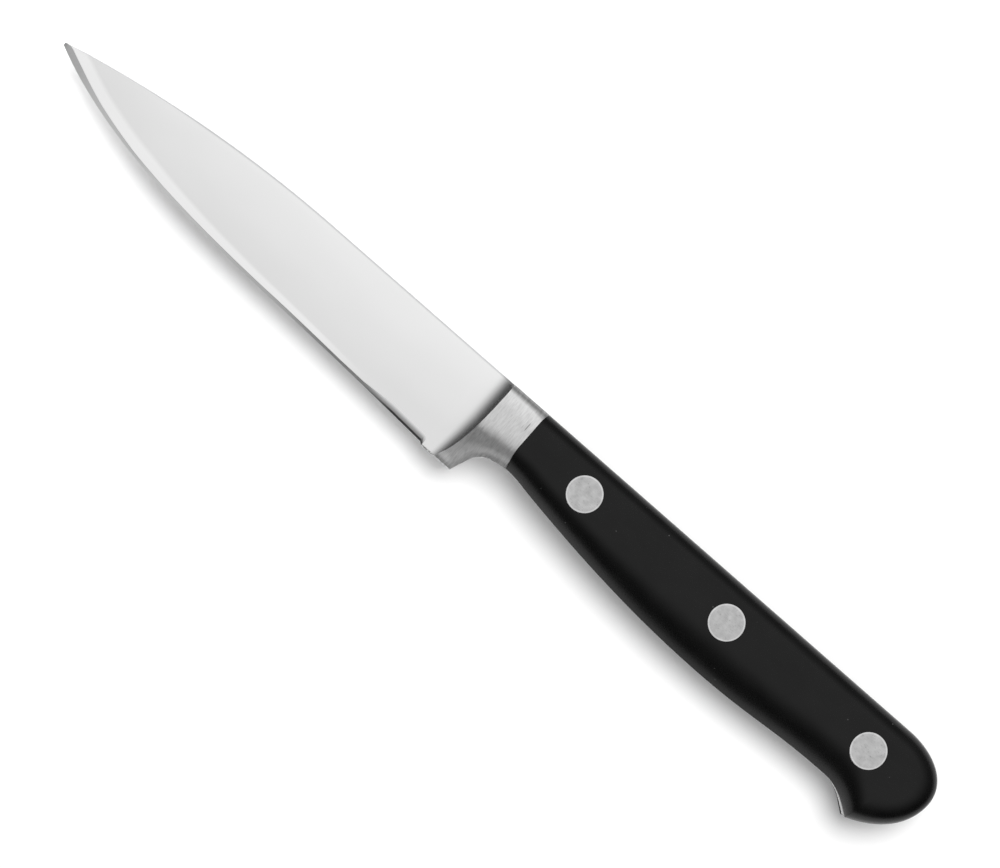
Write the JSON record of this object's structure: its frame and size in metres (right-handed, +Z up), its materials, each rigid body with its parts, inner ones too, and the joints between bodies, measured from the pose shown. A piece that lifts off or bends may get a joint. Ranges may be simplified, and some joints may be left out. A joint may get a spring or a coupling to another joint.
{
  "type": "paring knife",
  "caption": "Forged paring knife: pointed blade, bolster that thins towards the heel, and dark riveted scales on a full tang that ends in a small beak.",
  "frame": {"origin": "middle of the surface that the knife lies on, under the middle of its length and depth", "axes": "+X from the tip to the butt, +Y from the cutting edge to the spine, +Z up out of the near side"},
  "size_m": [0.205, 0.0194, 0.013],
  "materials": {
    "blade_steel": "satin ground stainless steel, with a coarser brushed bolster",
    "black_scale": "satin black moulded plastic with soft rounded edges",
    "rivet_steel": "rivet heads sanded flush with the scales"
  },
  "bodies": {
    "root": {"blade_forging": "blade_steel", "near_scale": "black_scale", "far_scale": "black_scale", "front_rivet_sleeve": "rivet_steel", "front_rivet_post": "rivet_steel", "middle_rivet_sleeve": "rivet_steel", "middle_rivet_post": "rivet_steel", "rear_rivet_sleeve": "rivet_steel", "rear_rivet_post": "rivet_steel"}
  },
  "joints": []
}
